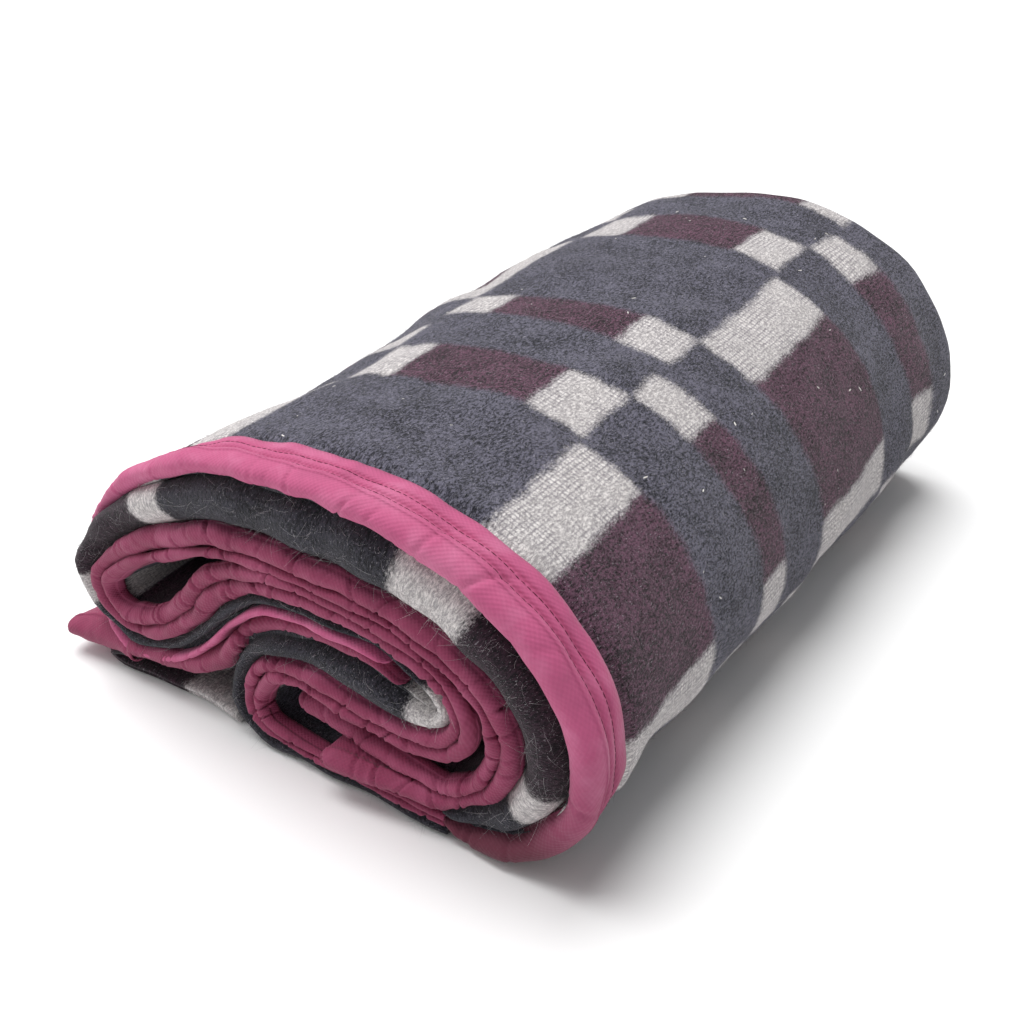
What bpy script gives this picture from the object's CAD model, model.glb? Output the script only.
"""A brushed wool blanket in a block check, bound with woven ribbon, folded in eight and rolled up.

Sizes are in millimetres in the roll's section: x across, z up, y along the roll from the bound end.
"""

import logging
import math
from dataclasses import dataclass, field
from enum import Enum
from typing import Callable, Sequence

import bpy
import numpy as np
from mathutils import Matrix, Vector


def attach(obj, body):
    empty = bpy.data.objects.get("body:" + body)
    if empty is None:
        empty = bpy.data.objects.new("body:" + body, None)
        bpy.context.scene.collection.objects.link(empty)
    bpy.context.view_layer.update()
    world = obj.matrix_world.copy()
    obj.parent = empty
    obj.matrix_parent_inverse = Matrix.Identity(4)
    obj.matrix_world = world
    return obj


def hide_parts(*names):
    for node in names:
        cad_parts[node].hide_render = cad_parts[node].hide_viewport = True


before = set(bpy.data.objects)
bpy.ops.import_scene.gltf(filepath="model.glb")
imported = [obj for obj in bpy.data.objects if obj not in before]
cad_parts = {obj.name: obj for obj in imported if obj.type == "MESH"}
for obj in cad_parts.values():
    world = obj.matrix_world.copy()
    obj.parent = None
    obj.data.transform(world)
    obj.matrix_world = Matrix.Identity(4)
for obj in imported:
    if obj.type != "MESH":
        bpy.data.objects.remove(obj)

LOG = logging.getLogger("blanket")
MM = 0.001
ROLL_LENGTH = 357.0  # a quarter of the blanket's width, from fold to fold
CENTRE_X = -50.2  # the middle of the section in its own coordinates
RIBBON_DEPTH = 22.0
FINE_STEPS = 24  # samples between two rows of a section table

# The strip's line, as the part has it: x, z, inner, part, second, fold, wrap.
STRIP_ROWS = (
    (-53, 13.2, 6, 9, 5, 0.6, 0), (-33, 13.2, 6, 7, 5.5, 0.6, 0),
    (-8, 13.2, 5.5, 4, 6, 0.6, 0), (14, 13.4, 5, 1.5, 6.5, 0.6, 0),
    (25, 15, 5, 0, 7, 6, 9), (43, 25, 5, 0, 8, 12, 11),
    (54, 47, 6, 0, 9.5, 16, 11), (51, 67, 4.5, 0, 9, 16, 12),
    (35, 85.5, 3.5, 0, 8.5, 18.5, 11.5), (3, 99, 3.5, 0, 9, 20, 10.5),
    (-38, 103, 4, 0, 9.5, 21.5, 9), (-86, 101, 4, 0, 10.5, 18, 8.5),
    (-125, 84, 4.5, 0, 10, 15, 7), (-148, 65, 5, 0, 7, 12, 6),
    (-157, 48, 5.5, 0, 5.5, 9, 5), (-152, 34, 6, 0, 5, 8, 5),
    (-139, 27, 7, 0, 5, 7, 4), (-119, 31, 7, 0, 6, 7, 3.5),
    (-100, 45, 7, 0, 7, 7, 3), (-84, 62, 7, 0, 8, 7, 3),
    (-62, 75, 5.5, 0, 6, 5, 3), (-30, 78, 4, 0, 5, 4.5, 3),
    (-2, 75.5, 4, 0, 5, 5, 2.5), (17, 67.5, 4, 0, 4.5, 6, 0.6),
    (23.5, 57.5, 5, 0, 4.5, 8, 0.6), (18, 48.5, 6, 0, 5.5, 8, 0.6),
    (2, 45, 6.5, 0, 6, 14, 2), (-20, 46, 5, 0, 5.5, 18.5, 5),
    (-45, 49, 5, 0, 6, 13, 6), (-64, 45, 5.5, 0, 5, 9.5, 6),
    (-74, 33.5, 6, 0, 5, 9, 5), (-77, 19, 6, 0, 5, 11, 0.6),
    (-69, 9, 4, 0, 4, 9, 0.6), (-50, 6, 3, 0, 3, 6, 0),
    (-20, 6, 3, 0, 3, 6, 0), (20, 6, 3, 0, 3, 6, 0),
)
STRIP_COLUMNS = ("inner", "part", "second", "fold", "wrap")

# Rows of the strip by name, as numbers along it.
OPEN_END, SECOND_END, STEP, WRAP_BEGINS, OUTER_TURN_ENDS = 0.0, 1.0, 3.0, 4.0, 17.0
MIDDLE_RIGHT, RETURN_RIGHT, LOOP_SHOULDER, FLOOR_END = 22.0, 26.0, 30.0, 35.0
PANELS_BEGIN = 3.4  # the folded panels start a little before the wrap does

# The bound edge of the loose end and the doubled corner beyond it: x, z, thickness.
LOOSE_BINDING_ROWS = (
    (-75, 51, 5.5), (-83, 41, 7), (-92, 31, 9), (-112, 22, 9), (-137, 17, 7), (-143, 16, 6.5),
)
CORNER_ROWS = ((-141, 14, 9), (-150, 14.4, 11.5), (-161, 13.6, 13.5), (-172, 12.4, 11), (-183, 11, 5))

# The loose pair's way out to the left and back beneath itself: x, z, thickness of a ply.
LOOSE_RUN_ROWS = (
    (-80, 38, 3.4), (-92, 29, 3.4), (-112, 19.5, 3.4), (-138, 14, 3.4), (-155, 10.5, 3.2),
    (-160, 7, 3), (-155, 3.6, 3), (-130, 3.2, 3.2), (-108, 3.2, 3.2), (-86, 3.4, 3.2),
)

# Where the check lies along the fold that shows at the bound end: distance round the roll, place in it.
CHECK_AT_FOLD = (
    (-40, -26), (62, 85), (84, 112), (184, 178), (219, 206), (345, 321), (364, 348), (438, 414),
    (452, 442), (520, 462), (636, 458), (654, 442), (665, 430), (676, 442), (690, 458), (930, 465),
)

# Where the check lies along the loose run: distance along the run, place in the check.
CHECK_ON_LOOSE_RUN = ((0, 96), (10, 118), (26, 134), (80, 150), (126, 117), (152, 96))

CHECK_DRIFT = ((125, 288, 90, 42, -9, 18), (165, 20, 90, 70, 7, -1))

# How far the wound cloth sags inwards: by row of the strip, at these distances from the bound end.
SAG_PLACES = (0, 12, 25, 60, 95, 140, 200, 270, 357)
SAG_ROWS = {
    3.5: (0, 0, 0, 0, 0, 0, 0, 0, 0),
    4.5: (0, 2, 4, 4, 3, 1, 0, 0, 0),
    5.5: (0, 2, 4.5, 5, 4, 2, 0, 0, 0),
    6.5: (0, 0, 1, 1, 0.5, 0, 0, 0.5, 1),
    7.5: (0, 0, 0, 0, 0, 0, 0, -0.5, -1),
    8.5: (0, 0, 0, 0, 0, -0.5, -1.5, -3, -5),
    9.5: (0, 0, 0.5, 0.5, 0.5, 0, -0.5, -3, -6.5),
    10.5: (1, 2, 3, 3, 4.5, 3.5, 1.5, 1, 0),
    11.5: (2.5, 5, 8, 7, 11, 8, 4.5, 4.5, 7),
    12.5: (1, 6, 9, 8, 13, 10, 6, 5.5, 9),
    13.5: (-1, 3.5, 6.5, 7, 11, 8, 5, 4.5, 7),
    14.5: (-3.5, -2.5, 1, 3, 5, 4, 3, 2, 3),
    15.5: (-1.5, -1, 0, 1, 1, 1, 0.5, 0.5, 1),
    16.5: (0, 0, 0, 0, 0, 0, 0, 0, 0),
}

# How far the fold at the bound end swells inwards and pushes the second ribbon aside, by row of the strip.
FOLD_SWELL = ((3.5, 0), (4.5, 3.5), (6, 3.5), (7, 4), (8.5, 5), (10, 4.5), (11, 3), (12.3, 0))
SWELL_PASSED_ON = 0.4  # the share of that which reaches the ribbons further in

# How far the fold that shows at the left leans out over the ribbon behind it, by row of the strip.
FOLD_LEAN = ((11.2, 0), (12.3, 3.5), (13, 5.5), (14, 5.5), (15, 2), (15.6, 0))

# How far each edge stands behind the plane of the bound end: row of the strip, distance.
OUTER_SET_BACK = ((4, 0), (11.3, 0), (12.2, 3), (13, 8), (14.3, 10), (15.2, 5), (15.8, 0))
SECOND_SET_BACK = ((1, -8), (3.4, 0))
INNER_SET_BACK = ((0, 4), (2.5, 0))
RETURN_SET_BACK = ((26, 3), (30, 3))

# Across a side of a ribbon, from its free edge to where its rounded front begins.
SIDE_BEGINS = 7
PLAIN_PLACES = (22, 18, 14, 11.5, 9, SIDE_BEGINS)
STITCHED_PLACES = (22, 20, 18, 16.8, 16.2, 15.6, 15, 14.2, 13, 12, 11.4, 10.8, 10.2, 9.2, 8, SIDE_BEGINS)
FRONT_POINTS = 15

# The ribbon is puffed up in ridges beside its seams: height, place, width.
RIBBON_RIDGES = ((1, 6, 2.8), (0.4, 13.2, 1.5), (0.35, 18.8, 2))


def linear(code: str) -> tuple[float, float, float, float]:
    """Turn a colour's sRGB hex code into linear light.

    Args:
        code: Six hex digits after a hash.

    Returns:
        Red, green, blue and alpha.
    """
    parts = [int(code[i:i + 2], 16) / 255 for i in (1, 3, 5)]
    r, g, b = (c / 12.92 if c <= 0.04045 else ((c + 0.055) / 1.055) ** 2.4 for c in parts)
    return (r, g, b, 1.0)


class Relief:
    """Seeded waves for uneven cloth, about one unit high."""

    WAVES = 14

    def __init__(self, seed: int, wave_u: float, wave_v: float) -> None:
        """Draw the waves.

        Args:
            seed: Fixes the draw.
            wave_u: Typical wave along the line, in mm.
            wave_v: Typical wave across it, in mm.
        """
        rng = np.random.default_rng(seed)
        spread = (0.6, 1.9)
        self.ku = 2 * math.pi / (wave_u * rng.uniform(*spread, self.WAVES)) * rng.choice((-1, 1), self.WAVES)
        self.kv = 2 * math.pi / (wave_v * rng.uniform(*spread, self.WAVES)) * rng.choice((-1, 1), self.WAVES)
        self.phase = rng.uniform(0, 2 * math.pi, self.WAVES)

    def at(self, u: np.ndarray, v: np.ndarray) -> np.ndarray:
        """Height of the relief at places u, v.

        Args:
            u: Distances along the line.
            v: Distances across it.

        Returns:
            The height, mostly between -1 and 1.
        """
        total = sum(np.sin(a * u + b * v + p) for a, b, p in zip(self.ku, self.kv, self.phase))
        return total / math.sqrt(self.WAVES * 1.2)


class Sag:
    """How far the wound cloth sags inwards, smoothed between the places of the table."""

    def __init__(self) -> None:
        """Lay the table out on a fine grid and smooth it."""
        self.rows = np.arange(0, FLOOR_END + 0.1, 0.125)
        self.places = np.arange(-12, ROLL_LENGTH + 13, 3.0)
        plain = np.array([np.interp(self.places, SAG_PLACES, values) for values in SAG_ROWS.values()])
        grid = np.array([np.interp(self.rows, list(SAG_ROWS), column) for column in plain.T]).T
        for axis, count in ((0, 9), (1, 7)):
            window = np.hanning(count + 2)[1:-1]
            padded = np.apply_along_axis(np.pad, axis, grid, count // 2, mode="edge")
            grid = np.apply_along_axis(np.convolve, axis, padded, window / window.sum(), mode="valid")
        self.grid = grid

    def at(self, t: np.ndarray, y: np.ndarray) -> np.ndarray:
        """The sag at places on the strip.

        Args:
            t: Rows of the strip, one for each row of the grid of places.
            y: Distances from the bound end, as a grid.

        Returns:
            Distances in mm, inwards positive.
        """
        row = np.array([np.interp(t, self.rows, column) for column in self.grid.T])
        return np.array([np.interp(y[i], self.places, row[:, i]) for i in range(len(t))])


class SectionLine:
    """A smooth line through a section table's rows, with the table's columns carried along."""

    def __init__(self, rows: Sequence[Sequence[float]], columns: Sequence[str],
                 sag: Sag | None = None) -> None:
        """Sample the line.

        Args:
            rows: x, z and the columns' values, in mm.
            columns: Names of the columns after x and z.
            sag: How far whatever follows the line sags inwards.
        """
        self.sag = sag
        table = np.array(rows, float)
        self.t = np.linspace(0, len(table) - 1, (len(table) - 1) * FINE_STEPS + 1)
        self.xz = self._smooth_line(table[:, :2])
        tangent = np.gradient(self.xz, axis=0)
        tangent /= np.linalg.norm(tangent, axis=1)[:, None]
        self.inward = np.stack([-tangent[:, 1], tangent[:, 0]], 1)
        self.arc = self._arc(self.xz)
        window = np.hanning(FINE_STEPS - 3)
        window /= window.sum()
        half = len(window) // 2
        self.columns = {}
        for i, name in enumerate(columns):
            plain = np.interp(self.t, np.arange(len(table)), table[:, 2 + i])
            padded = np.pad(plain, half, mode="edge")
            self.columns[name] = np.convolve(padded, window, mode="valid")

    def _smooth_line(self, p: np.ndarray) -> np.ndarray:
        """Centripetal Catmull-Rom line through points.

        Args:
            p: The points.

        Returns:
            The line's samples.
        """
        whole = np.vstack([2 * p[0] - p[1], p, 2 * p[-1] - p[-2]])
        out = []
        for i in range(len(p) - 1):
            p0, p1, p2, p3 = whole[i:i + 4]
            d0, d1, d2 = (math.sqrt(np.linalg.norm(b - a)) for a, b in ((p0, p1), (p1, p2), (p2, p3)))
            m1 = ((p1 - p0) / d0 - (p2 - p0) / (d0 + d1) + (p2 - p1) / d1) * d1
            m2 = ((p2 - p1) / d1 - (p3 - p1) / (d1 + d2) + (p3 - p2) / d2) * d1
            s = np.arange(FINE_STEPS)[:, None] / FINE_STEPS
            square, cube = 3 * (p2 - p1) - 2 * m1 - m2, 2 * (p1 - p2) + m1 + m2
            out.append(p1 + m1 * s + square * s**2 + cube * s**3)
        return np.vstack(out + [p[-1:]])

    @staticmethod
    def _arc(points: np.ndarray) -> np.ndarray:
        """Distance along a row of points, from its first."""
        return np.concatenate([[0], np.cumsum(np.linalg.norm(np.diff(points, axis=0), axis=1))])

    def column(self, name: str, t: np.ndarray) -> np.ndarray:
        """A column's value at places t along the table."""
        return np.interp(t, self.t, self.columns[name])

    def steps(self, first: float, last: float, length: float) -> np.ndarray:
        """Evenly spaced places between two rows.

        Args:
            first: The first row.
            last: The last row.
            length: Wanted distance between places, in mm.

        Returns:
            Places along the table.
        """
        a, b = np.interp([first, last], self.t, self.arc)
        return np.interp(np.linspace(a, b, max(3, round((b - a) / length) + 1)), self.arc, self.t)

    def arc_at(self, t: np.ndarray) -> np.ndarray:
        """Distance along the line at places t."""
        return np.interp(t, self.t, self.arc)

    def outline_arc(self, t: np.ndarray, zero: float) -> np.ndarray:
        """Distance round the outside of the wound strip at places t.

        Args:
            t: Places along the table.
            zero: The row at which the distance is nought.

        Returns:
            Distances in mm.
        """
        out = self.xz - self.inward * (self.columns["fold"] + self.columns["wrap"])[:, None]
        arc = self._arc(out)
        return np.interp(t, self.t, arc) - np.interp(zero, self.t, arc)

    def place(self, t: np.ndarray, offset: np.ndarray, y: np.ndarray) -> np.ndarray:
        """Points beside the line, in metres in the model's frame.

        Args:
            t: Places along the table, one for each row of the grid.
            offset: Distances beside the line, inwards positive, as a grid.
            y: Distances from the bound end, as a grid.

        Returns:
            A grid of points.
        """
        x, z, ix, iz = (np.interp(t, self.t, a)[:, None] for a in (*self.xz.T, *self.inward.T))
        if self.sag:
            offset = offset + self.sag.at(t, y)
        norm = np.hypot(ix, iz)
        px = x + ix / norm * offset - CENTRE_X
        pz = z + iz / norm * offset
        floor, soft = 0.25, 0.6  # in mm: points stay above the first, and the second rounds the bend to it
        pz = floor + soft * np.logaddexp(0, (pz - floor) / soft)
        return np.stack([px, y - ROLL_LENGTH / 2, pz], axis=-1) * MM


@dataclass
class Profile:
    """A sheet's course in the plane of y and offset, as grids: one row for each step along the line."""

    y: np.ndarray
    offset: np.ndarray
    half: np.ndarray
    normal_y: np.ndarray
    normal_o: np.ndarray
    across: np.ndarray

    @staticmethod
    def panel(ys: Sequence[float], offset: np.ndarray, half: np.ndarray, way: int,
              across: Sequence[float]) -> "Profile":
        """A flat run of cloth.

        Args:
            ys: Distances from the bound end, in order.
            offset: The run's offset from the line, one for each step.
            half: Half its thickness, one for each step.
            way: 1 where the run goes away from the bound end, -1 where it comes back.
            across: Place across the cloth at each y.

        Returns:
            The run.
        """
        one = np.ones((len(offset), len(ys)))
        return Profile(one * np.array(ys), one * offset[:, None], one * half[:, None], one * 0, one * way,
                       one * np.array(across))

    @staticmethod
    def turn(o1: np.ndarray, o2: np.ndarray, h1: np.ndarray, h2: np.ndarray, tip: np.ndarray, depth: float,
             way: int, count: int, across: tuple[float, float]) -> "Profile":
        """A fold between two runs, as half an ellipse.

        Args:
            o1: Offset of the run that comes in.
            o2: Offset of the run that goes out.
            h1: Half the thickness of the run that comes in.
            h2: Half the thickness of the run that goes out.
            tip: Where the fold's mid line ends, from the bound end.
            depth: How far the fold reaches beyond its runs.
            way: 1 at the far end, -1 at the bound end.
            count: Points between the two runs.
            across: Place across the cloth where the fold starts and ends.

        Returns:
            The fold.
        """
        angle = np.arange(1, count + 1) / (count + 1) * math.pi
        r = ((o1 - o2) / 2)[:, None]
        y = (tip - way * depth)[:, None] + way * depth * np.sin(angle)
        offset = ((o1 + o2) / 2)[:, None] + r * np.cos(angle)
        ny, no = r * np.sin(angle), way * depth * np.cos(angle)
        size = np.hypot(ny, no)
        share = angle / math.pi
        half = h1[:, None] * (1 - share) + h2[:, None] * share
        cap = 0.85 * np.maximum(np.abs(r), 0.3)
        one = np.ones_like(offset)
        return Profile(y, offset, np.minimum(half, cap), ny / size, no / size,
                       one * (across[0] + (across[1] - across[0]) * share))

    @staticmethod
    def join(parts: Sequence["Profile"]) -> "Profile":
        """Several runs and folds one after another, as one profile."""
        names = ("y", "offset", "half", "normal_y", "normal_o", "across")
        return Profile(*(np.hstack([getattr(p, n) for p in parts]) for n in names))


@dataclass
class MeshParts:
    points: list[np.ndarray] = field(default_factory=list)
    faces: list[np.ndarray] = field(default_factory=list)
    check: list[np.ndarray] = field(default_factory=list)
    count: int = 0

    def add(self, points: np.ndarray, faces: np.ndarray, check: np.ndarray) -> None:
        """Append a shell.

        Args:
            points: Its vertices.
            faces: Its faces, as rows of vertex numbers.
            check: Place in the check, three numbers a vertex.
        """
        self.points.append(points)
        self.faces.append(faces + self.count)
        self.check.append(check)
        self.count += len(points)

    def build(self, name: str) -> bpy.types.Object:
        """Make the mesh object.

        Args:
            name: The object's name.

        Returns:
            The object, linked to the scene.
        """
        mesh = bpy.data.meshes.new(name)
        points = np.vstack(self.points)
        faces = [tuple(int(v) for v in f) for block in self.faces for f in block]
        mesh.from_pydata(points.tolist(), [], faces)
        check = np.vstack(self.check)
        attribute = mesh.attributes.new("check", "FLOAT_VECTOR", "POINT")
        attribute.data.foreach_set("vector", check.astype(np.float32).ravel())
        layer = mesh.uv_layers.new(name="UVMap")
        corner = np.zeros(len(mesh.loops), np.int32)
        mesh.loops.foreach_get("vertex_index", corner)
        layer.data.foreach_set("uv", (check[corner, :2] * MM).astype(np.float32).ravel())
        mesh.shade_smooth()
        mesh.validate()
        obj = bpy.data.objects.new(name, mesh)
        bpy.context.scene.collection.objects.link(obj)
        return obj


def thick_grid(parts: MeshParts, left: np.ndarray, right: np.ndarray, mask: np.ndarray,
               check: np.ndarray) -> None:
    """Close two faces of a sheet into a shell with walls wherever the sheet ends.

    Args:
        parts: What the shell is added to.
        left: Grid of points on one face.
        right: Grid of points on the other.
        mask: Which cells of the grid there are.
        check: Grid of places in the check.
    """
    rows, cols = mask.shape
    used = np.zeros((rows + 1, cols + 1), bool)
    for di in (0, 1):
        for dj in (0, 1):
            used[di:rows + di, dj:cols + dj] |= mask
    number = np.full(used.shape, -1)
    number[used] = np.arange(used.sum())
    a, b = number, number + used.sum()
    i, j = np.nonzero(mask)
    quads = [np.stack([a[i, j], a[i + 1, j], a[i + 1, j + 1], a[i, j + 1]], 1),
             np.stack([b[i, j + 1], b[i + 1, j + 1], b[i + 1, j], b[i, j]], 1)]
    near = np.pad(mask, 1)
    for di, dj, p, q in ((-1, 0, (0, 0), (0, 1)), (1, 0, (1, 1), (1, 0)), (0, -1, (1, 0), (0, 0)),
                         (0, 1, (0, 1), (1, 1))):
        i, j = np.nonzero(mask & ~near[1 + di:rows + 1 + di, 1 + dj:cols + 1 + dj])
        u, v = (i + p[0], j + p[1]), (i + q[0], j + q[1])
        quads.append(np.stack([a[u], a[v], b[v], b[u]], 1))
    parts.add(np.vstack([left[used], right[used]]), np.vstack(quads), np.vstack([check[used], check[used]]))


def face_pair(line: SectionLine, t: np.ndarray, profile: Profile) -> tuple[np.ndarray, np.ndarray]:
    """The two faces of a sheet that follows a profile along a line.

    Args:
        line: The line.
        t: Places along it.
        profile: The profile at each place.

    Returns:
        Grids of points on the left and the right face.
    """
    faces = []
    for side in (1, -1):
        y = profile.y + side * profile.half * profile.normal_y
        offset = profile.offset + side * profile.half * profile.normal_o
        faces.append(line.place(t, offset, y))
    return faces[0], faces[1]


class Tree:
    """A node tree under construction."""

    def __init__(self, tree: bpy.types.NodeTree) -> None:
        """Take an empty tree."""
        self.tree = tree
        self.tree.nodes.clear()

    def add(self, kind: str, inputs: dict | None = None, **settings: object) -> bpy.types.Node:
        """Add a node with its settings and links.

        Args:
            kind: The node's type name.
            inputs: Socket name or number, and a value, a node or a socket to link from.
            **settings: Properties of the node.

        Returns:
            The node.
        """
        node = self.tree.nodes.new(kind)
        for name, value in settings.items():
            setattr(node, name, value)
        for key, value in (inputs or {}).items():
            socket = node.inputs[key]
            if isinstance(value, bpy.types.Node):
                value = next(o for o in value.outputs if o.enabled)
            if isinstance(value, bpy.types.NodeSocket):
                self.tree.links.new(value, socket)
            else:
                socket.default_value = value
        return node


NOISE, MATH, VECTOR = "ShaderNodeTexNoise", "ShaderNodeMath", "ShaderNodeVectorMath"
RANGE, MIX = "ShaderNodeMapRange", "ShaderNodeMix"
Ends = tuple[float, float]  # where a stripe starts and stops, in mm


@dataclass(frozen=True)
class CheckPattern:
    """The block check: two kinds of row over stripes of white and maroon, in mm of cloth."""

    periods: tuple[float, float] = (236.0, 182.0)  # round the roll and along it
    zeros: tuple[float, float] = (28.0, 154.0)
    rows_first: tuple[Ends, ...] = ((30.0, 114.0), (155.0, 176.0))
    white_first: tuple[Ends, ...] = ((57.0, 84.0), (150.0, 178.0))
    maroon_first: Ends = (84.0, 150.0)
    rows_second: tuple[Ends, ...] = ((6.0, 30.0), (119.0, 153.0))
    white_second: tuple[Ends, ...] = ((32.0, 56.0), (179.0, 204.0))
    not_maroon_second: Ends = (32.0, 204.0)
    soft: float = 2.4  # half the width of a block's woolly edge
    # How the edges of the blocks wander and fray: distance, waves in a mm, detail, roughness.
    uneven: tuple[tuple[float, float, float, float], ...] = ((5.0, 0.09, 2.0, 0.5), (9.0, 0.9, 3.0, 0.7))

    def stripe(self, tree: Tree, value: bpy.types.Node, ends: Ends) -> bpy.types.Node:
        """One between two ends and nought outside them, softly.

        Args:
            tree: The tree to add to.
            value: The coordinate.
            ends: Where the stripe starts and stops.

        Returns:
            The node that gives the mask.
        """
        slopes = []
        for end, before, after in ((ends[0], 0.0, 1.0), (ends[1], 1.0, 0.0)):
            slope = {0: value, 1: end - self.soft, 2: end + self.soft, 3: before, 4: after}
            slopes.append(tree.add(RANGE, slope, interpolation_type="SMOOTHSTEP"))
        return tree.add(MATH, {0: slopes[0], 1: slopes[1]}, operation="MULTIPLY")

    def stripes(self, tree: Tree, value: bpy.types.Node, pair: Sequence[Ends]) -> bpy.types.Node:
        """The masks of two stripes as one."""
        first, second = (self.stripe(tree, value, ends) for ends in pair)
        return tree.add(MATH, {0: first, 1: second}, operation="ADD", use_clamp=True)

    def masks(self, tree: Tree, place: bpy.types.NodeSocket) -> list[bpy.types.Node]:
        """Where the cloth is white and where it is maroon.

        Args:
            tree: The tree to add to.
            place: Place in the check, in mm.

        Returns:
            The nodes that give the white and the maroon mask.
        """
        moved = place
        for reach, scale, detail, roughness in self.uneven:
            noise = tree.add(NOISE, {"Vector": place, "Scale": scale, "Detail": detail,
                                     "Roughness": roughness})
            shift = tree.add(VECTOR, {0: noise.outputs["Color"], 1: (0.5, 0.5, 0.5)}, operation="SUBTRACT")
            shift = tree.add(VECTOR, {0: shift, 1: (reach, reach, 0.0)}, operation="MULTIPLY")
            moved = tree.add(VECTOR, {0: moved, 1: shift}, operation="ADD")
        parts = tree.add("ShaderNodeSeparateXYZ", {0: moved})
        places = []
        for socket, zero, period in zip(parts.outputs[:2], self.zeros, self.periods):
            shifted = tree.add(MATH, {0: socket, 1: zero}, operation="SUBTRACT")
            places.append(tree.add(MATH, {0: shifted, 1: period}, operation="FLOORED_MODULO"))
        column, row = places
        rows = [self.stripes(tree, row, pair) for pair in (self.rows_first, self.rows_second)]
        white = [self.stripes(tree, column, pair) for pair in (self.white_first, self.white_second)]
        grey = self.stripe(tree, column, self.not_maroon_second)
        maroon = [self.stripe(tree, column, self.maroon_first),
                  tree.add(MATH, {0: 1.0, 1: grey}, operation="SUBTRACT")]
        found = []
        for columns in (white, maroon):
            blocks = [tree.add(MATH, {0: a, 1: b}, operation="MULTIPLY") for a, b in zip(rows, columns)]
            found.append(tree.add(MATH, {0: blocks[0], 1: blocks[1]}, operation="ADD", use_clamp=True))
        return found


@dataclass(frozen=True)
class Finish:
    """A finish whose tree of nodes ends in one shader."""

    name: str

    def material(self) -> bpy.types.Material:
        """Build the finish.

        Returns:
            The material.
        """
        material = bpy.data.materials.new(self.name)
        material.use_nodes = True
        tree = Tree(material.node_tree)
        shader = tree.add("ShaderNodeBsdfPrincipled", self.surface(tree))
        tree.add("ShaderNodeOutputMaterial", {"Surface": shader})
        return material

    def surface(self, tree: Tree) -> dict[str, object]:
        """The shader's inputs by name; each finish has its own."""
        raise NotImplementedError


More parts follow.
